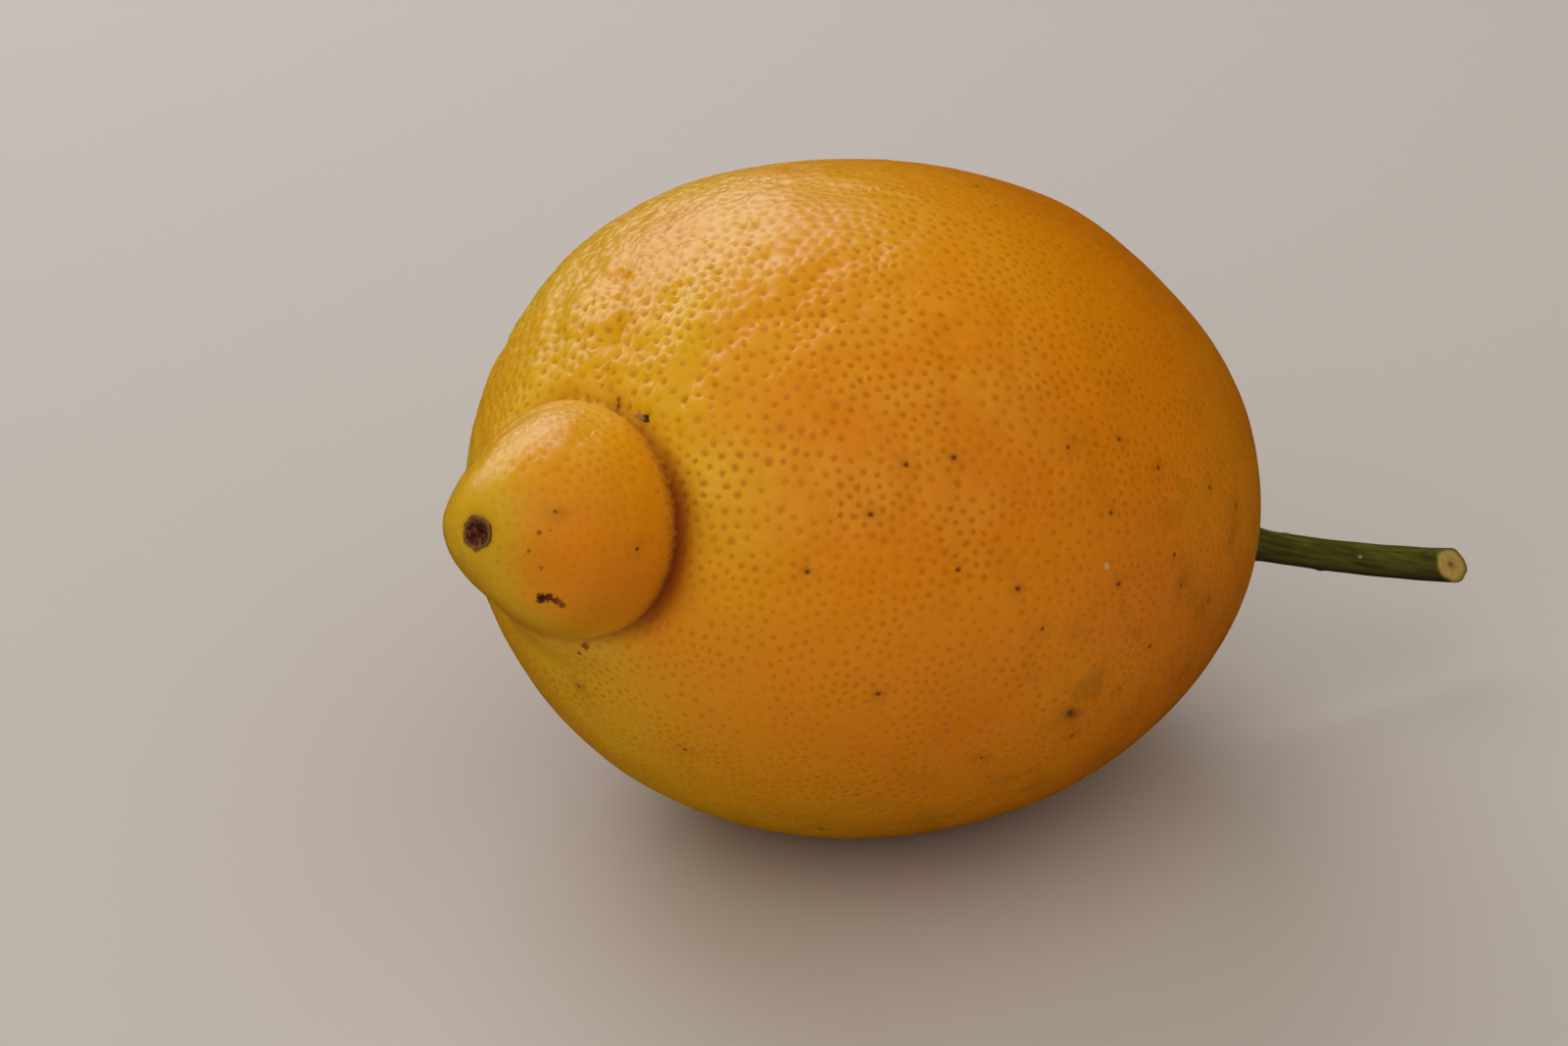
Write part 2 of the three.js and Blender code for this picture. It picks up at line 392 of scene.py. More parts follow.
def furrow(line, width):
    """1 along a line of places on the skin, falling to 0 over width mm."""
    steps = np.linspace(0, len(line) - 1, FURROW_STEPS)
    spans_on = np.interp(steps, range(len(line)), [p[0] for p in line])
    arounds_on = np.interp(steps, range(len(line)), [p[1] for p in line])
    track = skin(way_to(spans_on, arounds_on))
    off = np.min([np.linalg.norm(smooth_place - p, axis=1) for p in track], axis=0)
    return np.exp(-((off / width) ** 2))


shoulder = shoulder_share(ways)
knob = 1 - smooth(span, *KNOB_EDGE)
knob_top = knob * (1 - smooth(turn_from(around, SHOULDER_HEADING), *KNOB_TOP_TURNS))
knob_top = knob_top * smooth(span, *KNOB_TIP)
pebbly = np.clip(shoulder + KNOB_TOP_PEBBLES * knob_top, 0, 1)
calm = 1 - crease_share(around) * np.exp(-(((span - NIPPLE_SPAN) / CALM_WIDTH) ** 2))

pit = (PIT_DEPTH + PEBBLY_DEPTH * pebbly) * (1 - SMOOTHER_KNOB * knob * (1 - knob_top))
pit = pit * gland_size[owner] * np.where(middle > 0, 1, PIT_RIM_SHARE)
lumps = sum(
    (height + pebbly_height * pebbly) * noise_at(smooth_place, wavelength, seed)
    for wavelength, height, pebbly_height, seed in LUMPS
)
dents = smooth(noise_at(smooth_place, DENT_WAVELENGTH, 4), 0.15, 0.5)
hollows = DENT_DEPTH * pebbly * dents
for depth, width, line in FURROWS:
    hollows += depth * furrow(line, width)
scar_hole = SCAR_HOLE_DEPTH * near_place(*SCAR, SCAR_HOLE_SIZE)
scar_hole = scar_hole - SCAR_SWELL * near_place(*SCAR, SCAR_SWELL_SIZE)

# Round the stem the skin draws in a little, with short furrows fanning out.
SEAT_DEPTH = 0.35
SEAT_SIZE = 3.2
FAN_DEPTH = 0.22
FAN_SIZE = 5.5
FAN_FURROWS = 11

seat_way = direction(STEM_HEADING, STEM_RISE)
seat_place = body_point(seat_way[None])[0] @ resting.T
seat_out = body_normal(seat_way) @ resting.T
seat_level = unit(np.cross([0, 0, 1], seat_out))
seat_up = np.cross(seat_out, seat_level)
from_seat = smooth_place - seat_place
seat_reach = np.hypot(from_seat @ seat_level, from_seat @ seat_up)
seat_turn = np.arctan2(from_seat @ seat_up, from_seat @ seat_level)
at_fan = np.where(span > 90, np.exp(-((seat_reach / FAN_SIZE) ** 2)), 0)
fan = FAN_DEPTH * at_fan * (1 + np.cos(FAN_FURROWS * seat_turn + 2 * np.sin(3 * seat_turn)))
at_seat = np.where(span > 90, np.exp(-((seat_reach / SEAT_SIZE) ** 2)), 0)
seat_hollow = SEAT_DEPTH * at_seat + fan

# The relief is levelled so that the body keeps its size, and held inside the fruit's box.
inward = calm * (pit - lumps + hollows) + scar_hole + seat_hollow
inward = inward - np.median(inward[span > 60])
place = smooth_place - outward * inward[:, None] + centre
place = np.clip(place, fruit_low, fruit_high)


def new_piece(name, points, polygons):
    """A smooth-shaded mesh object, from points in mm."""
    mesh = bpy.data.meshes.new(name)
    mesh.from_pydata((np.array(points) * MM).tolist(), [], polygons)
    mesh.validate()
    mesh.shade_smooth()
    piece = bpy.data.objects.new(name, mesh)
    bpy.context.collection.objects.link(piece)
    return piece


def mark(piece, name, values):
    """A value, or a place of its own, stored at each point of a piece for its material."""
    values = np.asarray(values, dtype=np.float32)
    is_place = values.ndim == 2
    layer = piece.data.attributes.new(name, "FLOAT_VECTOR" if is_place else "FLOAT", "POINT")
    layer.data.foreach_set("vector" if is_place else "value", values.ravel())


# A few glands have died back to a brown speck, each in a soft stain, most of them on the
# stem half of the outer side. One bruise there is larger.
SPECKS = [
    (61, -18), (80, -27), (66, 11), (87, 20), (79, -1), (102, 6), (99, -3), (61, 31),
    (66, 31), (56, 21), (48, 9), (74, 6), (82, 31), (96, -12), (109, 3), (90, 7),
    (32, 90), (12, 148), (14, 30), (23, 8), (92, -22),
]
SPECK_CHANCE = 0.004
SPECKLESS_SHOULDER = 0.3
SPECKLESS_SPAN = 32
STAIN_SIZE = 0.9
BRUISE = (89, -16)
BRUISE_SIZE = 0.9
BRUISE_HALO = 2.6

speck_points = skin(way_to(*np.array(SPECKS, dtype=float).T))
off_speck = np.linalg.norm(gland_points[None] - speck_points[:, None], axis=2)
on_shoulder = shoulder_share(glands) > SPECKLESS_SHOULDER
clear = on_shoulder | (spans_of(glands)[0] < SPECKLESS_SPAN)
speckled = (chance.uniform(size=len(glands)) < SPECK_CHANCE) & ~clear
speckled[np.argmin(off_speck, axis=1)] = True
stain_tree = kdtree.KDTree(int(speckled.sum()))
for i, p in enumerate(gland_points[speckled].tolist()):
    stain_tree.insert(p, i)
stain_tree.balance()
stain_off = np.array([stain_tree.find(p)[2] for p in smooth_place.tolist()])
bruise = 0.8 * near_place(*BRUISE, BRUISE_SIZE) + 0.3 * near_place(*BRUISE, BRUISE_HALO)

# The shade painted into the fold is widest where the knob hangs over farthest, thin at both ends.
# The wax is rubbed dull along the whole of it.
SHADE_WIDTH = 0.9
OVERHUNG_SHADE = 2.3
RUBBED_WIDTH = 2.4
overhung = 1 - smooth(turn_from(around, 8), 15, 75)
shade_width = SHADE_WIDTH + np.where(span < NIPPLE_SPAN, 0, OVERHUNG_SHADE * overhung)
painted_shade = np.exp(-(((span - NIPPLE_SPAN) / shade_width) ** 2)) * (0.55 + 0.45 * overhung)
rubbed = np.exp(-(((span - NIPPLE_SPAN) / RUBBED_WIDTH) ** 2))

# The skin is still yellow over the side turned away, at the nipple's tip and at its foot.
far_side = 1 - smooth(turn_from(around, -165), 75, 150)
at_tip = 1 - smooth(span, 5, 13)
near_foot = smooth(span, 26, 31) * (1 - smooth(span, 36, 53))
yellow = far_side * (1 - smooth(span, 64, 130)) + 0.8 * at_tip + 0.35 * knob_top
yellow += near_foot * (0.28 + 0.35 * shoulder) + 0.12 * shoulder
yellow += 0.45 * knob * (1 - smooth(turn_from(around, -70), 20, 75))

rind = new_piece("rind", place, faces)
mark(rind, "gland", middle)
mark(rind, "pebbly", pebbly)
# The crease mark carries painted shade, not a colour of the rind.
mark(rind, "crease", crease_share(around) * painted_shade)
mark(rind, "fold", crease_share(around) * rubbed)
mark(rind, "knob", knob)
mark(rind, "yellow", np.clip(yellow, 0, 1))
mark(rind, "speck", middle * speckled[owner])
mark(rind, "stain", np.exp(-((stain_off / STAIN_SIZE) ** 2)))
mark(rind, "flank", smooth(span, 55, 90) * (1 - smooth(turn_from(around, -8), 20, 65)))
mark(rind, "bruise", bruise)
mark(rind, "scar", near_place(*SCAR, 1.9))
mark(rind, "green", near_place(*SCAR, 5.0))

# The colours that lie over the orange ground, from the first to the last: the colour, its
# fullest share, the marks that it follows, and the patches that break it up. A mark may
# have an edge: where it starts and ends, and the share at each. Patches have their size in
# mm, detail, the two levels of noise between which they fill in, and the share outside them.
TINTS = [
    ("#e8b414", 1.0, [("yellow", None)], (12.5, 2, 0.25, 0.75, 0.5)),
    # Paler ridges between the pits of pebbly skin: partly the rind's own colour, partly a painted
    # highlight.
    ("#f0be34", 0.35, [("pebbly", None), ("gland", (0, 0.6, 1, 0))], (6.67, 2, 0.35, 0.7, 0)),
    ("#bfa022", 0.6, [("green", None)], None),
    ("#be6400", 0.55, [("gland", (0, 0.8, 0, 1)), ("knob", (0, 1, 1, 0.45))], (4.35, 2, 0.3, 0.7, 0.15)),
    ("#98640a", 0.42, [("flank", None)], (4.76, 4, 0.5, 0.75, 0)),
    ("#8a4a08", 0.5, [("stain", None)], (1.11, 3, 0.35, 0.7, 0.1)),
    ("#58360e", 1.0, [("bruise", None)], (1.43, 3, 0.3, 0.7, 0.3)),
    # Painted shade in the fold under the knob.
    ("#823400", 1.0, [("crease", None)], None),
    ("#642c08", 0.85, [("speck", (0.3, 0.8, 0, 1))], None),
    ("#6e3a14", 0.85, [("scar", (0.35, 0.8, 0, 1))], None),
]
# The grain of a real rind is finer. It is drawn as coarse as it needs to be to show.
RIPE_PATCH = 26.3
WAX_PATCH = 1.43
SKIN_GRAIN = 0.192

# Small dead marks, by place, size in mm and colour: a hook-shaped nick under the knob,
# scuffs at its foot, faint brown spots on it and one pale fleck on the outer side.
NICKS = [
    ((14.4, -31.5), 0.58, "#6a3214"),
    ((14.3, -28.8), 0.62, "#42180c"),
    ((15.0, -26.8), 0.64, "#521e10"),
    ((16.0, -26.8), 0.58, "#6a2a14"),
    ((17.0, -28.0), 0.48, "#7c3a18"),
    ((31.2, -68), 0.50, "#86460e"),
    ((32.4, -73), 0.32, "#86460e"),
    ((31.7, 88), 0.38, "#985818"),
    ((10.5, 3), 0.24, "#a4500c"),
    ((12.5, -8), 0.26, "#9c4c0e"),
    ((11.5, 18), 0.30, "#a8540c"),
    ((13.0, 20), 0.20, "#a8540c"),
    ((87, 11), 0.45, "#d8b070"),
]
NICK_SHARE = 0.9
NICK_FRAY = 0.7
NICK_TATTER = 0.333


def on_rind(at_span, at_around):
    """The point of the finished rind at a place, in mm."""
    at = skin_at(at_span, at_around)
    nearest = np.argmin(np.linalg.norm(smooth_place - at, axis=1))
    return at + place[nearest] - smooth_place[nearest]


def linear(code):
    """Linear RGBA of an sRGB hex colour."""
    parts = [int(code[i : i + 2], 16) / 255 for i in (1, 3, 5)]
    return [p / 12.92 if p <= 0.04045 else ((p + 0.055) / 1.055) ** 2.4 for p in parts] + [1]


def add(tree, kind, inputs=None, out=0, ramp=None, **settings):
    """One output of a new node, which has its settings, inputs, links and ramp's stops."""
    made = tree.nodes.new("ShaderNode" + kind)
    for name, value in settings.items():
        setattr(made, name, value)
    for name, value in (inputs or {}).items():
        if isinstance(value, bpy.types.NodeSocket):
            tree.links.new(value, made.inputs[name])
        else:
            made.inputs[name].default_value = value
    if ramp:
        stops = made.color_ramp.elements
        while len(stops) < len(ramp):
            stops.new(1)
        for stop, (at, code) in zip(stops, ramp):
            stop.position = at
            stop.color = linear(code)
    return made.outputs[out] if made.outputs else None


def new_material(name):
    """A material, its node tree and its one shader."""
    material = bpy.data.materials.new(name)
    material.use_nodes = True
    tree = material.node_tree
    tree.nodes.clear()
    surface = add(tree, "BsdfPrincipled")
    add(tree, "OutputMaterial", {"Surface": surface})
    return material, tree, surface.node


def rind_material():
    """Waxy lemon rind: deep yellow turning orange, a darker dot over each oil gland, a soft
    broad gloss, and light that sinks a millimetre into the skin."""
    material, tree, shader = new_material("waxy_lemon_rind")
    where = add(tree, "TexCoord", out="Object")
    patches = {"Vector": where, "Scale": 1 / (RIPE_PATCH * MM), "Detail": 3.0}
    ripe = [(0.34, "#e88e00"), (0.52, "#e48400"), (0.68, "#de7a00")]
    colour = add(tree, "ValToRGB", {"Fac": add(tree, "TexNoise", patches)}, ramp=ripe)

    for code, share, marks, patch in TINTS:
        if patch:
            size, detail, low, high, outside = patch
            patches = {"Vector": where, "Scale": 1 / (size * MM), "Detail": detail}
            patches = {0: add(tree, "TexNoise", patches), 1: low, 2: high, 3: outside, 4: share}
            share = add(tree, "MapRange", patches, interpolation_type="SMOOTHSTEP")
        for name, edge in marks:
            value = add(tree, "Attribute", out="Fac", attribute_name=name)
            if edge:
                start, end, at_start, at_end = edge
                value = {0: value, 1: start, 2: end, 3: at_start, 4: at_end}
                value = add(tree, "MapRange", value, interpolation_type="SMOOTHSTEP")
            share = add(tree, "Math", {0: share, 1: value}, operation="MULTIPLY")
        tinted = {0: share, 6: colour, 7: linear(code)}
        colour = add(tree, "Mix", tinted, out=2, data_type="RGBA")

    # Noise shifts the places that the nicks are measured from, so their edges are ragged.
    tatter = {"Vector": where, "Scale": 1 / (NICK_TATTER * MM), "Detail": 2.0}
    tatter = {0: add(tree, "TexNoise", tatter, out="Color"), 1: (0.5, 0.5, 0.5)}
    shift = {0: add(tree, "VectorMath", tatter, operation="SUBTRACT"), "Scale": NICK_FRAY * MM}
    shift = add(tree, "VectorMath", shift, operation="SCALE")
    torn = add(tree, "VectorMath", {0: where, 1: shift}, operation="ADD")
    for (at_span, at_around), size, code in NICKS:
        at = Vector(on_rind(at_span, at_around)) * MM
        far = add(tree, "VectorMath", {0: torn, 1: at}, out="Value", operation="DISTANCE")
        share = {0: far, 1: 0.55 * size * MM, 2: size * MM, 3: NICK_SHARE, 4: 0.0}
        share = add(tree, "MapRange", share, interpolation_type="SMOOTHSTEP")
        tinted = {0: share, 6: colour, 7: linear(code)}
        colour = add(tree, "Mix", tinted, out=2, data_type="RGBA")
    tree.links.new(colour, shader.inputs["Base Color"])

    # The wax is uneven, and rubbed off in the fold.
    wax = {"Vector": where, "Scale": 1 / (WAX_PATCH * MM), "Detail": 3.0}
    wax = {0: add(tree, "TexNoise", wax), 1: 0.3, 2: 0.7, 3: 0.28, 4: 0.38}
    rough = add(tree, "MapRange", wax, interpolation_type="SMOOTHSTEP")
    fold = add(tree, "Attribute", out="Fac", attribute_name="fold")
    fold = add(tree, "Math", {0: fold, 1: 0.55}, operation="MULTIPLY")
    rough = add(tree, "Math", {0: rough, 1: fold}, operation="ADD")
    tree.links.new(rough, shader.inputs["Roughness"])
    grain = {"Vector": where, "Scale": 1 / (SKIN_GRAIN * MM), "Detail": 3.0}
    grain = {"Height": add(tree, "TexNoise", grain), "Strength": 0.12, "Distance": 0.2 * MM}
    tree.links.new(add(tree, "Bump", grain), shader.inputs["Normal"])
    shader.inputs["IOR"].default_value = 1.48
    shader.inputs["Subsurface Weight"].default_value = 0.15
    shader.inputs["Subsurface Radius"].default_value = (1.0, 0.42, 0.08)
    shader.inputs["Subsurface Scale"].default_value = 1.3 * MM
    return material


rind.data.materials.append(rind_material())
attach(rind, "root")
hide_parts("fruit")

# ---------------------------------------------------------------------------------------
# Style scar: where the flower's style dried and broke away, a little off the knob's tip.
# A ragged corky cup, dark brown inside and a little paler on its rim.
# ---------------------------------------------------------------------------------------
SCAR_RADIUS = 1.5
SCAR_ROOT = -1.4
SCAR_BOTTOM = -0.2
SCAR_FRAY = 0.55
SCAR_AROUND = 60
SCAR_RINGS = 16
CORK_CRUMB = 0.385


def frame_on_skin(at_span, at_around):
    """Origin and axes (across, along, out) of the smooth skin at a place, in mm."""
    _, _, here, (a, b) = tangents(way_to(np.array([at_span]), np.array([at_around])))
    out = unit(np.cross(a[0], b[0]))
    across = unit(np.cross([0, 0, 1], out))
    return here[0] + centre, np.array([across, np.cross(out, across), out])


def ring_points(radius, height):
    """Closed rings of points about the Z axis, from radius and height per ring and step."""
    turn = np.arange(radius.shape[1]) / radius.shape[1] * 2 * pi
    return np.stack([radius * np.cos(turn), radius * np.sin(turn), height], axis=2)


def ring_faces(rings, steps):
    """Quads between rings and a fan at each end, where the end points follow the rings."""
    quads = []
    for r in range(rings - 1):
        for i in range(steps):
            j = (i + 1) % steps
            low, high = r * steps, (r + 1) * steps
            quads.append((low + i, low + j, high + j, high + i))
    start, end = rings * steps, rings * steps + 1
    last = (rings - 1) * steps
    for i in range(steps):
        j = (i + 1) % steps
        quads.append((start, j, i))
        quads.append((end, last + i, last + j))
    return quads


def closed_piece(name, rings, start, end, origin, axes):
    """A closed solid from rings of local points and its two end points, kept in the box."""
    points = np.concatenate([rings.reshape(-1, 3), [start], [end]]) @ axes + origin
    points = np.clip(points, np.array(cad_low) / MM, np.array(cad_high) / MM)
    return new_piece(name, points, ring_faces(rings.shape[0], rings.shape[1]))


share = np.linspace(0, 1, SCAR_RINGS)[:, None]
turn = np.arange(SCAR_AROUND)[None] / SCAR_AROUND * 2 * pi
ragged = chance.normal(size=(1, SCAR_AROUND))
ragged = (ragged + np.roll(ragged, 1, axis=1) + np.roll(ragged, 2, axis=1)) / 3
profile_radius = np.interp(share, [0, 0.45, 0.7, 1], [0.8, 1.04, 0.72, 0.12]) * SCAR_RADIUS
profile = [SCAR_ROOT, -0.12, 0.10, -0.12, -0.25]
profile_height = np.interp(share, [0, 0.3, 0.5, 0.75, 1], profile)
folds = 0.07 * np.cos(5 * turn + 1.3) + 0.05 * np.cos(9 * turn) + 0.16 * ragged
scar_radius = profile_radius * (1 + folds * (1 - share))
scar_height = profile_height + SCAR_FRAY * folds * np.sin(pi * share)
scar_rings = ring_points(scar_radius, scar_height)
scar_ends = (0, 0, SCAR_ROOT), (0, 0, SCAR_BOTTOM)
scar = closed_piece("style_scar", scar_rings, *scar_ends, *frame_on_skin(*SCAR))
rim = np.exp(-(((share[:, 0] - 0.5) / 0.13) ** 2))
mark(scar, "rim", np.append(np.repeat(rim, SCAR_AROUND), [0, 0]))


def cork_material():
    """Dead corky tissue: dry and dull, dark brown in the cup and pale where it frays."""
    material, tree, shader = new_material("dry_cork")
    where = add(tree, "TexCoord", out="Object")
    crumbs = {"Vector": where, "Scale": 1 / (CORK_CRUMB * MM), "Detail": 4.0}
    fray = add(tree, "TexNoise", crumbs)
    browns = [(0.35, "#1e0c06"), (0.5, "#4a200e"), (0.68, "#84401c")]
    deep = add(tree, "ValToRGB", {"Fac": fray}, ramp=browns)
    rim = add(tree, "Attribute", out="Fac", attribute_name="rim")
    share = add(tree, "Math", {0: rim, 1: 0.35}, operation="MULTIPLY")
    mixed = {0: share, 6: deep, 7: linear("#b8895a")}
    colour = add(tree, "Mix", mixed, out=2, data_type="RGBA")
    tree.links.new(colour, shader.inputs["Base Color"])
    bump = {"Height": fray, "Strength": 0.6, "Distance": 0.1 * MM}
    tree.links.new(add(tree, "Bump", bump), shader.inputs["Normal"])
    shader.inputs["Roughness"].default_value = 0.85
    return material


cork = cork_material()
scar.data.materials.append(cork)
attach(scar, "root")
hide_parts("fruit")

# ---------------------------------------------------------------------------------------
# Dry nib: a dead flake of skin that stands at the upper end of the crease, pale at its
# free tip and dark where it joins the rind. It is the same dry cork as the scar.
# ---------------------------------------------------------------------------------------
NIB = (32.0, 70)
NIB_RADIUS = 0.42
NIB_ROOT = -0.5
NIB_HEIGHT = 0.95
NIB_CAP = 0.08
NIB_LEAN_ACROSS = -0.45
NIB_LEAN_ALONG = 0.35
NIB_PALENESS = 2.4
NIB_AROUND = 20
NIB_RINGS = 12

share = np.linspace(0, 1, NIB_RINGS)[:, None]
turn = np.arange(NIB_AROUND)[None] / NIB_AROUND * 2 * pi
nib_radius = NIB_RADIUS * (1 - 0.45 * share) * (1 + 0.18 * np.cos(3 * turn + 2 * share))
nib_rings = ring_points(nib_radius, NIB_ROOT + (NIB_HEIGHT - NIB_ROOT) * share + 0 * turn)
nib_rings[..., 0] += NIB_LEAN_ACROSS * share
nib_rings[..., 1] += NIB_LEAN_ALONG * share**2
nib_ends = (0, 0, NIB_ROOT), (NIB_LEAN_ACROSS, NIB_LEAN_ALONG, NIB_HEIGHT + NIB_CAP)
nib = closed_piece("dry_nib", nib_rings, *nib_ends, *frame_on_skin(*NIB))
paleness = NIB_PALENESS * smooth(share[:, 0], 0.45, 0.75)
mark(nib, "rim", np.append(np.repeat(paleness, NIB_AROUND), [0, 2]))
nib.data.materials.append(cork)
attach(nib, "root")
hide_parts("fruit")

# ---------------------------------------------------------------------------------------
# Calyx: a button of five short sepals, grown together, which holds the fruit to its stem.
# Leathery and olive green, browning at the tips, pressed flat on the rind.
# ---------------------------------------------------------------------------------------
CALYX_RADIUS = 4.1
CALYX_NOTCH = 0.26
CALYX_TOP = 1.6
CALYX_RIM = 0.3
CALYX_SUNK = 0.7
SEPALS = 5
CALYX_AROUND = 120
CALYX_RINGS = 22
SEPAL_MOTTLE = 1.11

seat_origin = seat_place + centre
seat_axes = np.array([seat_level, seat_up, seat_out])

# Each sepal lifts at its edge and has a low midrib. It sinks at the notches beside it.
turn = np.arange(CALYX_AROUND)[None] / CALYX_AROUND * 2 * pi
sepal = 0.5 + 0.5 * np.cos(SEPALS * turn)
outline = CALYX_RADIUS * (1 - CALYX_NOTCH * (1 - sepal**0.7) + 0.03 * np.cos(2 * turn + 1))
share = np.linspace(0.08, 1, CALYX_RINGS)[:, None]
top = CALYX_RIM + (CALYX_TOP - CALYX_RIM) * (1 - share**1.6)
top = top + 0.28 * sepal**2 * share**5 - 0.35 * (1 - sepal) ** 4 * share**2
top = top + 0.10 * sepal**12 * np.sin(pi * share)
top = top + 0.05 * np.cos(23 * turn + 4 * share) * share
under = np.full_like(outline, -CALYX_SUNK)
calyx_radius = np.concatenate([outline * share, outline, outline * 0.97])
calyx_height = np.concatenate([top, (top[-1:] - CALYX_SUNK) * 0.5, under])
calyx_rings = ring_points(calyx_radius, calyx_height)[::-1]
calyx_ends = (0, 0, -CALYX_SUNK), (0, 0, CALYX_TOP)
calyx = closed_piece("calyx_button", calyx_rings, *calyx_ends, seat_origin, seat_axes)
reach_share = np.concatenate([share[:, 0], [1, 1]])[::-1]
mark(calyx, "tip", np.append(np.repeat(reach_share, CALYX_AROUND), [1, 0]))


def leathery_material():
    """Leathery green plant skin: olive, mottled, dull, browning towards the sepal tips."""
    material, tree, shader = new_material("leathery_green_calyx")
    where = add(tree, "TexCoord", out="Object")
    mottle = {"Vector": where, "Scale": 1 / (SEPAL_MOTTLE * MM), "Detail": 5.0}
    mottle = add(tree, "TexNoise", mottle)
    greens = [(0.32, "#4a4a12"), (0.52, "#67671c"), (0.7, "#858037")]
    green = add(tree, "ValToRGB", {"Fac": mottle}, ramp=greens)
    tip = add(tree, "Attribute", out="Fac", attribute_name="tip")
    browning = {0: tip, 1: 0.7, 2: 1.0, 3: 0.0, 4: 0.85}
    browning = add(tree, "MapRange", browning, interpolation_type="SMOOTHSTEP")
    mixed = {0: browning, 6: green, 7: linear("#5c4520")}
    colour = add(tree, "Mix", mixed, out=2, data_type="RGBA")
    tree.links.new(colour, shader.inputs["Base Color"])
    bump = {"Height": mottle, "Strength": 0.4, "Distance": 0.2 * MM}
    tree.links.new(add(tree, "Bump", bump), shader.inputs["Normal"])
    shader.inputs["Roughness"].default_value = 0.62
    shader.inputs["IOR"].default_value = 1.45
    return material


calyx.data.materials.append(leathery_material())
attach(calyx, "root")
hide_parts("calyx")

# ---------------------------------------------------------------------------------------
# Stem: the green pedicel that the fruit hung on. It flares into the calyx, has low ribs
# and a few pale breathing pores, and was cut slantwise, so its end shows pale wood.
# ---------------------------------------------------------------------------------------
STEM_START = 1.9
STEM_ROOT = 0.9
STEM_LENGTH = 28
STEM_RADIUS = 1.7
STEM_FLARE = 0.85
STEM_FLARE_LENGTH = 2.6
STEM_END_GAIN = 0.2
STEM_UPTURN = 2.15
RIB_DEPTH = 0.05
CUT_SLOPE = 1.85
CUT_HEADING = 150
CUT_DISH = 0.25
BARK_STEP = 0.066
STEM_AROUND = 72
STEM_RINGS = 110
CUT_RINGS = 12
# Share of the stem's length, turn in degrees and size of each pore.
PORES = [
    (0.24, 62, 0.34),
    (0.55, 150, 0.26),
    (0.71, 20, 0.24),
    (0.42, 250, 0.28),
    (0.84, 300, 0.25),
]
PORE_HEIGHT = 0.12
# Width, depth and length of a streak of the bark. The wood's pores are really finer, and
# are drawn as coarse as they need to be to show.
BARK_STREAK = (0.526, 0.526, 4.55)
WOOD_GRAIN = 0.417

height = np.linspace(STEM_ROOT - STEM_START, STEM_LENGTH, STEM_RINGS)[:, None]
along = np.maximum(height, 0) / STEM_LENGTH
turn = np.arange(STEM_AROUND)[None] / STEM_AROUND * 2 * pi
radius = STEM_RADIUS + STEM_END_GAIN * along
radius = radius + STEM_FLARE * np.exp(-((along * STEM_LENGTH / STEM_FLARE_LENGTH) ** 2))
ribs = RIB_DEPTH * np.cos(5 * turn + 1.5 * along) + 0.025 * np.cos(9 * turn - 2 * along)
ripple = 0.03 * np.cos(3 * turn + 17 * along) * np.cos(11 * along)
radius = radius + ribs + ripple - 0.07


def stem_place(radius, turn, along, height):
    """Local points of the stem: bent upwards and sheared to its slanting cut."""
    x, y = radius * np.cos(turn), radius * np.sin(turn)
    cut = radians(CUT_HEADING)
    slant = CUT_SLOPE * (x * cos(cut) + y * sin(cut)) * along**6
    return np.stack([x, y + STEM_UPTURN * along**2, STEM_START + height - slant], axis=2)


pores = np.zeros((STEM_RINGS, STEM_AROUND))
for at_along, at_turn, size in PORES:
    off_along = (along - at_along) * STEM_LENGTH
    off_turn = (np.degrees(turn) - at_turn + 180) % 360 - 180
    off_across = np.radians(off_turn) * STEM_RADIUS
    pore = np.exp(-((off_along / (1.6 * size)) ** 2) - (off_across / size) ** 2)
    pores = np.maximum(pores, pore)
sides = stem_place(radius + PORE_HEIGHT * pores, turn, along, height)

# The cut face steps in behind the bark and dips at the pith, with fine knife marks.
inset = np.linspace(0, 1, CUT_RINGS + 1)[:-1][:, None]
face_radius = radius[-1:] * (1 - inset) - BARK_STEP * np.sin(pi * np.minimum(inset * 4, 1))
face_drop = 0.10 * np.sin(pi * np.minimum(inset * 3, 1)) + CUT_DISH * smooth(inset, 0.75, 1)
knife = 0.03 * np.cos(18 * turn + 9 * inset) * inset
face = stem_place(face_radius, turn, np.ones_like(inset), STEM_LENGTH - face_drop + knife)
stem_rings = np.concatenate([sides, face])
stem_ends = (0, 0, STEM_ROOT), (0, STEM_UPTURN, STEM_START + STEM_LENGTH - CUT_DISH)
stem = closed_piece("cut_stem", stem_rings, *stem_ends, seat_origin, seat_axes)
mark(stem, "pore", np.append(pores.ravel(), [0] * (CUT_RINGS * STEM_AROUND + 2)))
from_rim = np.append(np.zeros(STEM_RINGS * STEM_AROUND), np.repeat(inset[:, 0], STEM_AROUND))
mark(stem, "from_rim", np.append(from_rim, [0, 1]))
stem_local = np.concatenate([stem_rings.reshape(-1, 3), [[0, 0, 0], [0, 0, STEM_LENGTH]]])
mark(stem, "local", stem_local)
# Painted shade: the stem's underside is coloured darker and browner.
painted_underside_shade = np.tile(smooth(-np.sin(turn[0]), -0.3, 0.9), STEM_RINGS + CUT_RINGS)
mark(stem, "under", np.append(painted_underside_shade, [0, 0]))


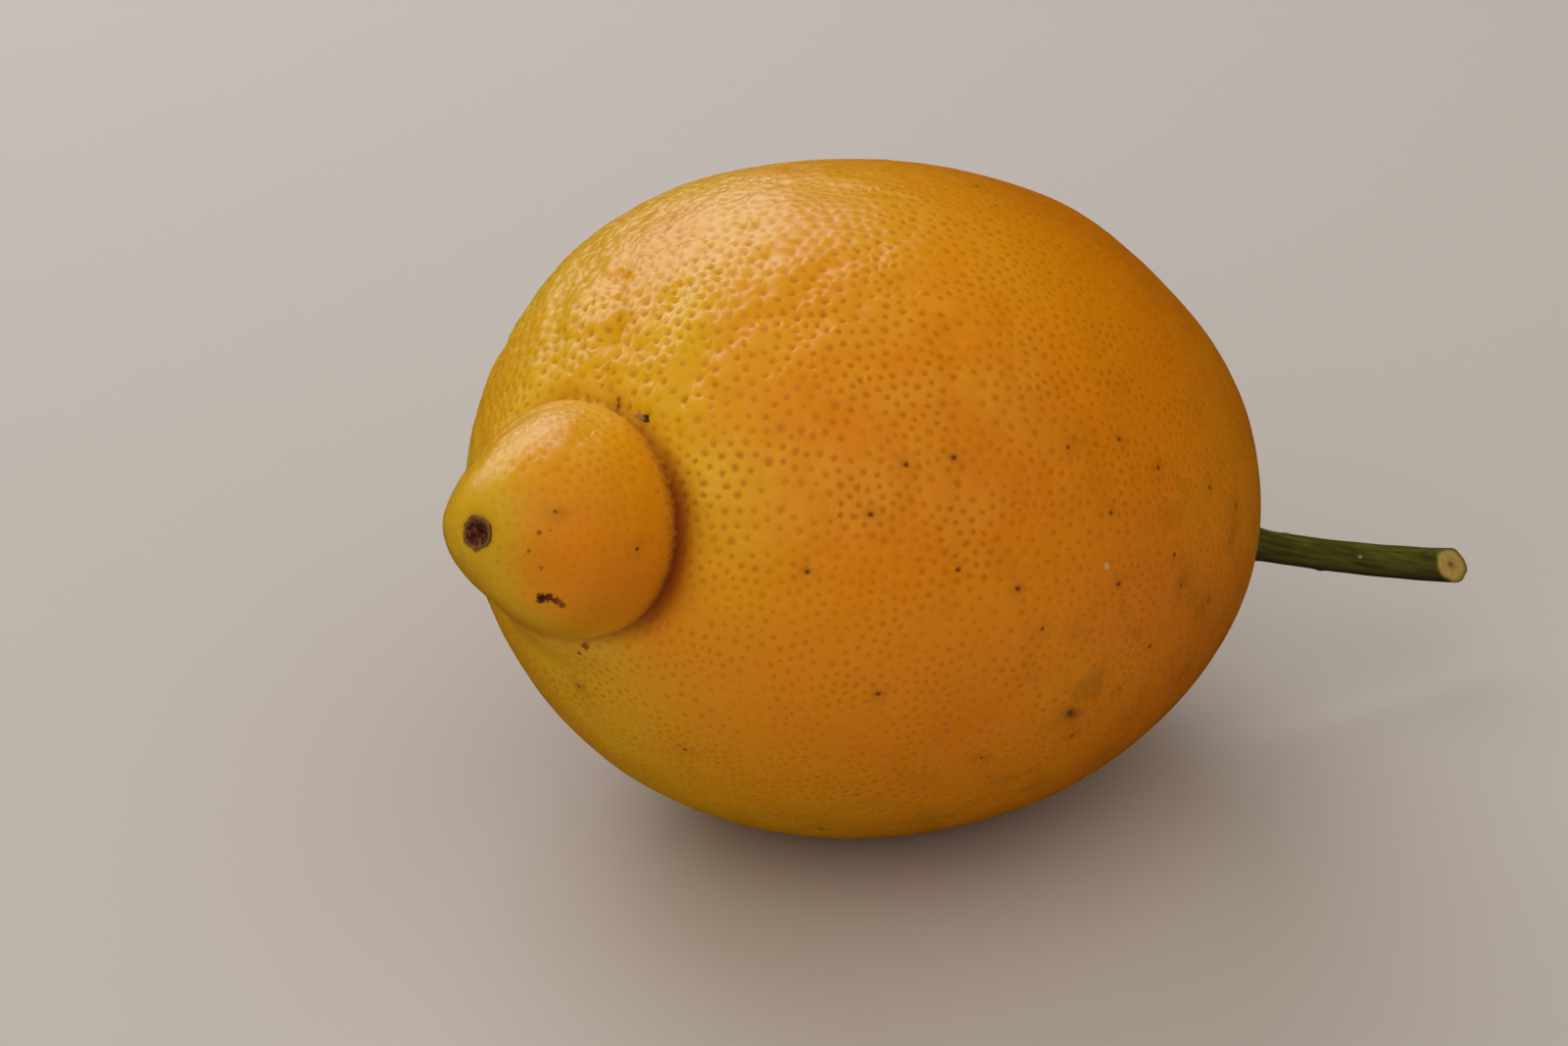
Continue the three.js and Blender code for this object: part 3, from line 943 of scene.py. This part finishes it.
def young_bark_material():
    """Young green bark: olive with fine lengthwise streaks, painted shade below, pinkish pores."""
    material, tree, shader = new_material("young_green_bark")
    where = add(tree, "Attribute", out="Vector", attribute_name="local")
    per_streak = {"Vector": where, "Scale": [1 / size for size in BARK_STREAK]}
    streaks = {"Vector": add(tree, "Mapping", per_streak), "Scale": 1.0, "Detail": 4.0}
    streaks = add(tree, "TexNoise", streaks)
    greens = [(0.3, "#35370a"), (0.5, "#4d4d0c"), (0.72, "#68631a")]
    green = add(tree, "ValToRGB", {"Fac": streaks}, ramp=greens)
    # The under mark carries painted shade along the stem's underside.
    under = add(tree, "Attribute", out="Fac", attribute_name="under")
    bark_with_painted_shade = {0: under, 6: green, 7: linear("#463610")}
    bark_with_painted_shade = add(tree, "Mix", bark_with_painted_shade, out=2, data_type="RGBA")
    pore = add(tree, "Attribute", out="Fac", attribute_name="pore")
    edge = add(tree, "MapRange", {0: pore, 1: 0.45, 2: 0.8, 3: 0.0, 4: 0.9})
    mixed = {0: edge, 6: bark_with_painted_shade, 7: linear("#b08b74")}
    colour = add(tree, "Mix", mixed, out=2, data_type="RGBA")
    tree.links.new(colour, shader.inputs["Base Color"])
    bump = {"Height": streaks, "Strength": 0.5, "Distance": 0.1 * MM}
    tree.links.new(add(tree, "Bump", bump), shader.inputs["Normal"])
    shader.inputs["Roughness"].default_value = 0.52
    shader.inputs["IOR"].default_value = 1.45
    return material


def cut_wood_material():
    """Freshly cut green wood: a thin dark bark edge, a greenish ring, pale wood, soft pith."""
    material, tree, shader = new_material("cut_green_wood")
    where = add(tree, "TexCoord", out="Object")
    grain = {"Vector": where, "Scale": 1 / (WOOD_GRAIN * MM), "Detail": 3.0}
    grain = add(tree, "TexNoise", grain)
    depth = add(tree, "Attribute", out="Fac", attribute_name="from_rim")
    woods = [
        (0.0, "#4a4710"),
        (0.12, "#9a9438"),
        (0.24, "#d2b25c"),
        (0.75, "#c8a250"),
        (0.86, "#8f6f3c"),
    ]
    rings = add(tree, "ValToRGB", {"Fac": depth}, ramp=woods)
    speckle = add(tree, "MapRange", {0: grain, 1: 0.35, 2: 0.7, 3: 0.0, 4: 0.5})
    mixed = {0: speckle, 6: rings, 7: linear("#a3793c")}
    colour = add(tree, "Mix", mixed, out=2, data_type="RGBA")
    tree.links.new(colour, shader.inputs["Base Color"])
    bump = {"Height": grain, "Strength": 0.4, "Distance": 0.1 * MM}
    tree.links.new(add(tree, "Bump", bump), shader.inputs["Normal"])
    shader.inputs["Roughness"].default_value = 0.75
    return material


stem.data.materials.append(young_bark_material())
stem.data.materials.append(cut_wood_material())
for polygon in stem.data.polygons:
    if min(polygon.vertices) >= STEM_RINGS * STEM_AROUND:
        polygon.material_index = 1
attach(stem, "root")
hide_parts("stem")

# ---------------------------------------------------------------------------------------
# Stage: a plain floor in matt pale paint, a soft window light from behind, a broad room
# light from the left, a large even ceiling light, and the camera.
# ---------------------------------------------------------------------------------------
AZIMUTH = radians(-38)
ELEVATION = radians(27)
VIEW_DISTANCE = 444
AIM_RIGHT = -9.2
AIM_UP = -2.86
FLOOR_REACH = 3000
# Name, direction from the fruit, distance and size in metres, power, colour, and whether
# the light shows in the gloss.
LIGHTS = [
    ("window", (0.12, 0.74, 0.62), 0.80, 0.62, 3.1, "#f8f9ff", True),
    ("room", (-0.75, -0.30, 0.60), 1.2, 1.3, 4.4, "#fff8ee", False),
    ("ceiling", (-0.15, -0.40, 0.90), 2.4, 5.0, 54.0, "#f4f2ee", False),
]

back = Vector((sin(AZIMUTH) * cos(ELEVATION), -cos(AZIMUTH) * cos(ELEVATION), sin(ELEVATION)))
right = Vector((cos(AZIMUTH), sin(AZIMUTH), 0))
up = back.cross(right)
aim = Vector(centre) + right * AIM_RIGHT + up * AIM_UP

lens = bpy.data.cameras.new("camera")
lens.lens = 100
lens.sensor_width = 36
lens.clip_start = 0.01
camera = bpy.data.objects.new("camera", lens)
turned = Matrix((right, up, back)).transposed().to_4x4()
camera.matrix_world = Matrix.Translation((aim + back * VIEW_DISTANCE) * MM) @ turned
bpy.context.collection.objects.link(camera)
bpy.context.scene.camera = camera

for name, toward, distance, size, power, code, in_gloss in LIGHTS:
    lamp = bpy.data.lights.new(name, "AREA")
    lamp.size = size
    lamp.energy = power
    lamp.color = linear(code)[:3]
    light = bpy.data.objects.new(name, lamp)
    light.location = Vector(centre) * MM + Vector(toward).normalized() * distance
    light.rotation_euler = Vector(toward).to_track_quat("Z", "Y").to_euler()
    light.visible_glossy = in_gloss
    bpy.context.collection.objects.link(light)

# The world is kept weak, because a little of it shows in the gloss even when switched off.
world = bpy.data.worlds.new("studio")
world.use_nodes = True
world.node_tree.nodes["Background"].inputs["Color"].default_value = linear("#f4e9b4")
world.node_tree.nodes["Background"].inputs["Strength"].default_value = 0.2
bpy.context.scene.world = world
world.cycles_visibility.glossy = False
bpy.context.scene.view_settings.view_transform = "Standard"

corners = [(x * FLOOR_REACH, y * FLOOR_REACH, 0) for x, y in ((-1, -1), (1, -1), (1, 1), (-1, 1))]
floor = new_piece("floor", corners, [(0, 1, 2, 3)])
floor_paint, _, shader = new_material("matt_pale_paint")
shader.inputs["Base Color"].default_value = linear("#c5bfbd")
shader.inputs["Roughness"].default_value = 0.8
floor.data.materials.append(floor_paint)
floor.visible_glossy = False
